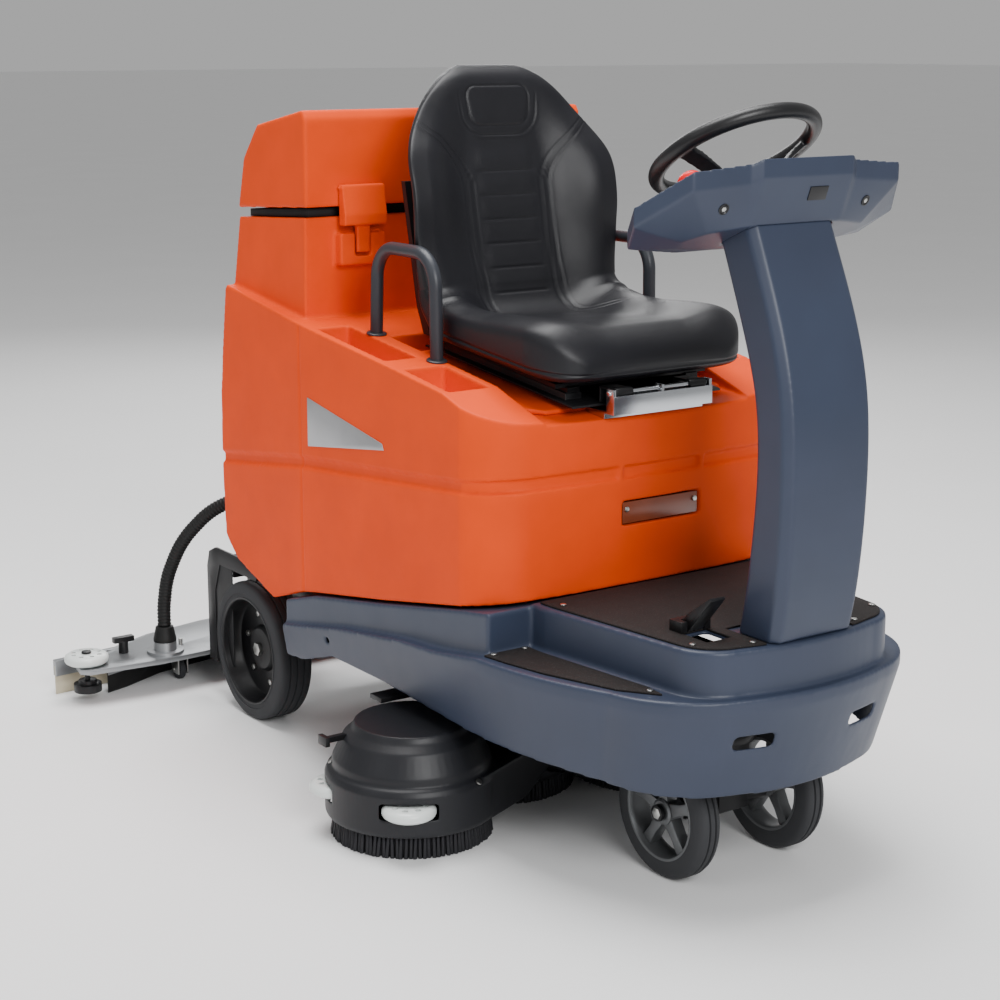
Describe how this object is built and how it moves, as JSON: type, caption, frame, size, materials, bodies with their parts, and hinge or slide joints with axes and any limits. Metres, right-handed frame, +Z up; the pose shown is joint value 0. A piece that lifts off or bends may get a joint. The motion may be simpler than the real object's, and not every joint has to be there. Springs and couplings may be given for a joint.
{
  "type": "ride-on floor scrubber",
  "caption": "Ride-on floor scrubber: moulded tank with hinged lid and seat, steering column over twin front wheels, offset brush deck, rear drive wheels and trailing squeegee.",
  "frame": {"origin": "middle of the footprint on the floor, hose left out", "axes": "+Z up, +Y to the machine's rear, so it drives towards -Y; +X to the driver's left"},
  "size_m": [1.0161, 1.922, 1.4],
  "materials": {
    "tank_orange": "rotomoulded, soft semi-matte",
    "chassis_grey": "moulded, satin slate",
    "deck_plastic": "moulded, satin charcoal",
    "black_steel": "black powder coat",
    "dark_tube": "dark grey paint",
    "zinc_steel": "zinc plated",
    "chrome_steel": "bright plated",
    "squeegee_metal": "satin cast",
    "cast_rim": "cast, satin",
    "tyre_rubber": "solid rubber",
    "mat_rubber": "flecked rubber",
    "black_rubber": "moulded rubber",
    "blade_rubber": "cream rubber",
    "black_plastic": "moulded black",
    "roller_white": "white moulded",
    "bristles": "nylon bristle",
    "vinyl": "grained black vinyl",
    "stop_red": "red moulded",
    "badge_silver": "silver, blank",
    "window_orange": "tinted plate",
    "battery_case": "moulded case"
  },
  "bodies": {
    "chassis": {"chassis_cover": "chassis_grey", "steering_column": "chassis_grey", "console": "chassis_grey", "tank_body": "tank_orange", "platform_mat": "mat_rubber", "step_mats": "mat_rubber", "main_frame": "black_steel", "drive_axle": "black_steel", "lid_gasket": "black_rubber", "side_badges": "badge_silver", "sight_window": "window_orange", "steel_fittings": "zinc_steel", "batteries": "battery_case", "debris_basket": "black_plastic", "armrests": "dark_tube", "seat_hinge": "chrome_steel", "pedal_bracket": "black_steel", "suction_hose": "black_rubber", "tank_outlet": "black_rubber"},
    "wheel_rear_right": {"rear_tyre_right": "tyre_rubber", "rear_rim_right": "black_steel"},
    "wheel_rear_left": {"rear_tyre_left": "tyre_rubber", "rear_rim_left": "black_steel"},
    "bogie": {"steering_bogie": "black_steel"},
    "wheel_front_right": {"front_tyre_right": "tyre_rubber", "front_rim_right": "cast_rim"},
    "wheel_front_left": {"front_tyre_left": "tyre_rubber", "front_rim_left": "cast_rim"},
    "hand_wheel": {"steering_wheel": "black_plastic"},
    "stop": {"stop_button": "stop_red"},
    "key": {"key_switch": "zinc_steel"},
    "lid": {"tank_lid": "tank_orange"},
    "latch": {"lid_latch": "tank_orange"},
    "seat_base": {"seat_panel": "tank_orange", "seat_plate": "black_steel"},
    "seat": {"seat_pan": "black_steel", "seat_cushion": "vinyl", "seat_backrest": "vinyl"},
    "slide_lever": {"seat_lever": "black_steel"},
    "foot_pedal": {"pedal": "black_steel"},
    "deck": {"deck_cover": "deck_plastic", "deck_frame": "black_steel", "brush_motors": "black_steel"},
    "brush_r": {"brush_right": "bristles"},
    "brush_m": {"brush_middle": "bristles"},
    "brush_l": {"brush_left": "bristles"},
    "bumper_front": {"deck_roller_front": "roller_white"},
    "bumper_rear": {"deck_roller_rear": "roller_white"},
    "squeegee": {"squeegee_plate": "squeegee_metal", "squeegee_blades": "blade_rubber", "squeegee_frame": "black_steel", "hose_cuff_lower": "black_rubber"},
    "end_roller_right": {"squeegee_roller_right": "roller_white"},
    "end_roller_left": {"squeegee_roller_left": "roller_white"},
    "castor_right": {"castor_fork_right": "zinc_steel"},
    "castor_left": {"castor_fork_left": "zinc_steel"},
    "castor_tread_right": {"castor_wheel_right": "tyre_rubber"},
    "castor_tread_left": {"castor_wheel_left": "tyre_rubber"},
    "knob_right": {"squeegee_knob_right": "black_plastic"},
    "knob_left": {"squeegee_knob_left": "black_plastic"}
  },
  "joints": [
    {"name": "rear_wheel_spin_right", "type": "hinge", "parent": "chassis", "child": "wheel_rear_right", "pos_m": [-0.18105, 0.465, 0.1525], "axis": [1, 0, 0], "continuous": true},
    {"name": "rear_wheel_spin_left", "type": "hinge", "parent": "chassis", "child": "wheel_rear_left", "pos_m": [0.41295, 0.465, 0.1525], "axis": [1, 0, 0], "continuous": true},
    {"name": "bogie_steer", "type": "hinge", "parent": "chassis", "child": "bogie", "pos_m": [0.11595, -0.7086, 0.3], "axis": [0, 0, 1], "range_deg": [-50, 50]},
    {"name": "front_wheel_spin_right", "type": "hinge", "parent": "bogie", "child": "wheel_front_right", "pos_m": [-0.00705, -0.7086, 0.121], "axis": [1, 0, 0], "continuous": true},
    {"name": "front_wheel_spin_left", "type": "hinge", "parent": "bogie", "child": "wheel_front_left", "pos_m": [0.23895, -0.7086, 0.121], "axis": [1, 0, 0], "continuous": true},
    {"name": "steering_wheel_turn", "type": "hinge", "parent": "chassis", "child": "hand_wheel", "pos_m": [0.11595, -0.701, 1.266], "axis": [0, 0.515, 0.8572], "range_deg": [-125, 125]},
    {"name": "stop_press", "type": "slide", "parent": "chassis", "child": "stop", "axis": [0, -0.6247, -0.7809], "range_m": [0, 0.005], "stiffness_N_per_m": 600},
    {"name": "key_turn", "type": "hinge", "parent": "chassis", "child": "key", "pos_m": [0.26595, -0.795, 1.198], "axis": [0, 0.6247, 0.7809], "range_deg": [0, 90]},
    {"name": "lid_open", "type": "hinge", "parent": "chassis", "child": "lid", "pos_m": [0.11595, 0.467, 1.104], "axis": [-1, 0, 0], "range_deg": [0, 70]},
    {"name": "latch_open", "type": "hinge", "parent": "lid", "child": "latch", "pos_m": [-0.09505, 0.163, 1.165], "axis": [-1, 0, 0], "range_deg": [0, 40]},
    {"name": "seat_tilt", "type": "hinge", "parent": "chassis", "child": "seat_base", "pos_m": [0.11595, -0.513, 0.838], "axis": [1, 0, 0], "range_deg": [0, 50]},
    {"name": "seat_slide", "type": "slide", "parent": "seat_base", "child": "seat", "axis": [0, 0.994, 0.1091], "range_m": [-0.03, 0.05]},
    {"name": "slide_lever_lift", "type": "hinge", "parent": "seat", "child": "slide_lever", "pos_m": [0.30195, -0.321, 0.8486], "axis": [0, -1, 0], "range_deg": [0, 5]},
    {"name": "pedal_press", "type": "hinge", "parent": "chassis", "child": "foot_pedal", "pos_m": [-0.03405, -0.795, 0.49], "axis": [1, 0, 0], "range_deg": [0, 12], "stiffness_Nm_per_rad": 4},
    {"name": "deck_lift", "type": "slide", "parent": "chassis", "child": "deck", "axis": [0, 0, 1], "range_m": [0, 0.026]},
    {"name": "brush_spin_r", "type": "hinge", "parent": "deck", "child": "brush_r", "pos_m": [-0.26405, -0.267, 0.04], "axis": [0, 0, 1], "continuous": true},
    {"name": "brush_spin_m", "type": "hinge", "parent": "deck", "child": "brush_m", "pos_m": [0.01895, -0.142, 0.04], "axis": [0, 0, 1], "continuous": true},
    {"name": "brush_spin_l", "type": "hinge", "parent": "deck", "child": "brush_l", "pos_m": [0.30195, -0.267, 0.04], "axis": [0, 0, 1], "continuous": true},
    {"name": "bumper_spin_front", "type": "hinge", "parent": "deck", "child": "bumper_front", "pos_m": [-0.34654, -0.38747, 0.092], "axis": [0, 0, 1], "continuous": true},
    {"name": "bumper_spin_rear", "type": "hinge", "parent": "deck", "child": "bumper_rear", "pos_m": [-0.39124, -0.20386, 0.092], "axis": [0, 0, 1], "continuous": true},
    {"name": "squeegee_lift", "type": "hinge", "parent": "chassis", "child": "squeegee", "pos_m": [-0.00405, 0.581, 0.236], "axis": [1, 0, 0], "range_deg": [0, 10], "deforming": ["suction_hose"]},
    {"name": "end_roller_spin_right", "type": "hinge", "parent": "squeegee", "child": "end_roller_right", "pos_m": [-0.45905, 0.781, 0.098], "axis": [0, 0, 1], "continuous": true},
    {"name": "castor_swivel_right", "type": "hinge", "parent": "squeegee", "child": "castor_right", "pos_m": [-0.22205, 0.793, 0.07], "axis": [0, 0, 1], "continuous": true},
    {"name": "castor_spin_right", "type": "hinge", "parent": "castor_right", "child": "castor_tread_right", "pos_m": [-0.22205, 0.805, 0.024], "axis": [1, 0, 0], "continuous": true},
    {"name": "knob_turn_right", "type": "hinge", "parent": "squeegee", "child": "knob_right", "pos_m": [-0.35605, 0.811, 0.1], "axis": [0, 0, 1], "range_deg": [0, 180]},
    {"name": "end_roller_spin_left", "type": "hinge", "parent": "squeegee", "child": "end_roller_left", "pos_m": [0.45095, 0.781, 0.098], "axis": [0, 0, 1], "continuous": true},
    {"name": "castor_swivel_left", "type": "hinge", "parent": "squeegee", "child": "castor_left", "pos_m": [0.21395, 0.793, 0.07], "axis": [0, 0, 1], "continuous": true},
    {"name": "castor_spin_left", "type": "hinge", "parent": "castor_left", "child": "castor_tread_left", "pos_m": [0.21395, 0.805, 0.024], "axis": [1, 0, 0], "continuous": true},
    {"name": "knob_turn_left", "type": "hinge", "parent": "squeegee", "child": "knob_left", "pos_m": [0.34795, 0.811, 0.1], "axis": [0, 0, 1], "range_deg": [0, 180]}
  ],
  "couplings": [
    {"joint": "steering_wheel_turn", "follows": "bogie_steer", "ratio": 2.5}
  ]
}
